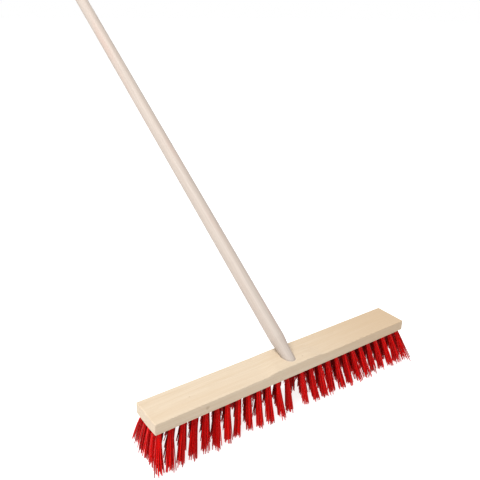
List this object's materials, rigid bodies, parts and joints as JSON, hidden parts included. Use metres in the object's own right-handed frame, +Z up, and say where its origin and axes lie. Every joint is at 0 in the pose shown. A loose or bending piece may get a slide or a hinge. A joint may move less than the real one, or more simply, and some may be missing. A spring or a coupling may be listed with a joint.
{
  "type": "push broom",
  "caption": "Push broom for sweeping streets and yards: wooden block with a raised socket pad, slanted wooden handle and coarse red fanned bristle tufts.",
  "frame": {"origin": "on the floor under the middle of the wooden block", "axes": "+X along the block, +Y towards the side that the handle leans to, +Z up"},
  "size_m": [0.6334, 1.195, 0.8767],
  "materials": {
    "block_wood": "bare planed beech, fine straight grain",
    "handle_wood": "bare turned wood, pale pinkish grey",
    "bristle_plastic": "glossy red coarse filaments",
    "staple_wire": "flat zinc-coated wire"
  },
  "bodies": {
    "head": {"broom_block": "block_wood", "bristle_tufts_01": "bristle_plastic", "bristle_tufts_02": "bristle_plastic", "bristle_tufts_03": "bristle_plastic", "bristle_tufts_04": "bristle_plastic", "bristle_tufts_05": "bristle_plastic", "bristle_tufts_06": "bristle_plastic", "bristle_tufts_07": "bristle_plastic", "bristle_tufts_08": "bristle_plastic", "bristle_tufts_09": "bristle_plastic", "bristle_tufts_10": "bristle_plastic", "bristle_tufts_11": "bristle_plastic", "bristle_tufts_12": "bristle_plastic", "bristle_tufts_13": "bristle_plastic", "bristle_tufts_14": "bristle_plastic", "bristle_tufts_15": "bristle_plastic", "bristle_tufts_16": "bristle_plastic", "bristle_tufts_17": "bristle_plastic", "bristle_tufts_18": "bristle_plastic", "bristle_tufts_19": "bristle_plastic", "bristle_tufts_20": "bristle_plastic", "bristle_tufts_21": "bristle_plastic", "bristle_tufts_22": "bristle_plastic", "bristle_tufts_23": "bristle_plastic", "bristle_tufts_24": "bristle_plastic", "bristle_tufts_25": "bristle_plastic", "bristle_tufts_26": "bristle_plastic", "tuft_staples_01": "staple_wire", "tuft_staples_02": "staple_wire", "tuft_staples_03": "staple_wire", "tuft_staples_04": "staple_wire", "tuft_staples_05": "staple_wire", "tuft_staples_06": "staple_wire", "tuft_staples_07": "staple_wire", "tuft_staples_08": "staple_wire", "tuft_staples_09": "staple_wire", "tuft_staples_10": "staple_wire", "tuft_staples_11": "staple_wire", "tuft_staples_12": "staple_wire", "tuft_staples_13": "staple_wire", "tuft_staples_14": "staple_wire", "tuft_staples_15": "staple_wire", "tuft_staples_16": "staple_wire", "tuft_staples_17": "staple_wire", "tuft_staples_18": "staple_wire", "tuft_staples_19": "staple_wire", "tuft_staples_20": "staple_wire", "tuft_staples_21": "staple_wire", "tuft_staples_22": "staple_wire", "tuft_staples_23": "staple_wire", "tuft_staples_24": "staple_wire", "tuft_staples_25": "staple_wire", "tuft_staples_26": "staple_wire"},
    "handle": {"handle": "handle_wood"}
  },
  "joints": [
    {"name": "handle_pull", "type": "slide", "parent": "head", "child": "handle", "axis": [0, 0.829, 0.5592], "range_m": [0, 0.08]}
  ]
}
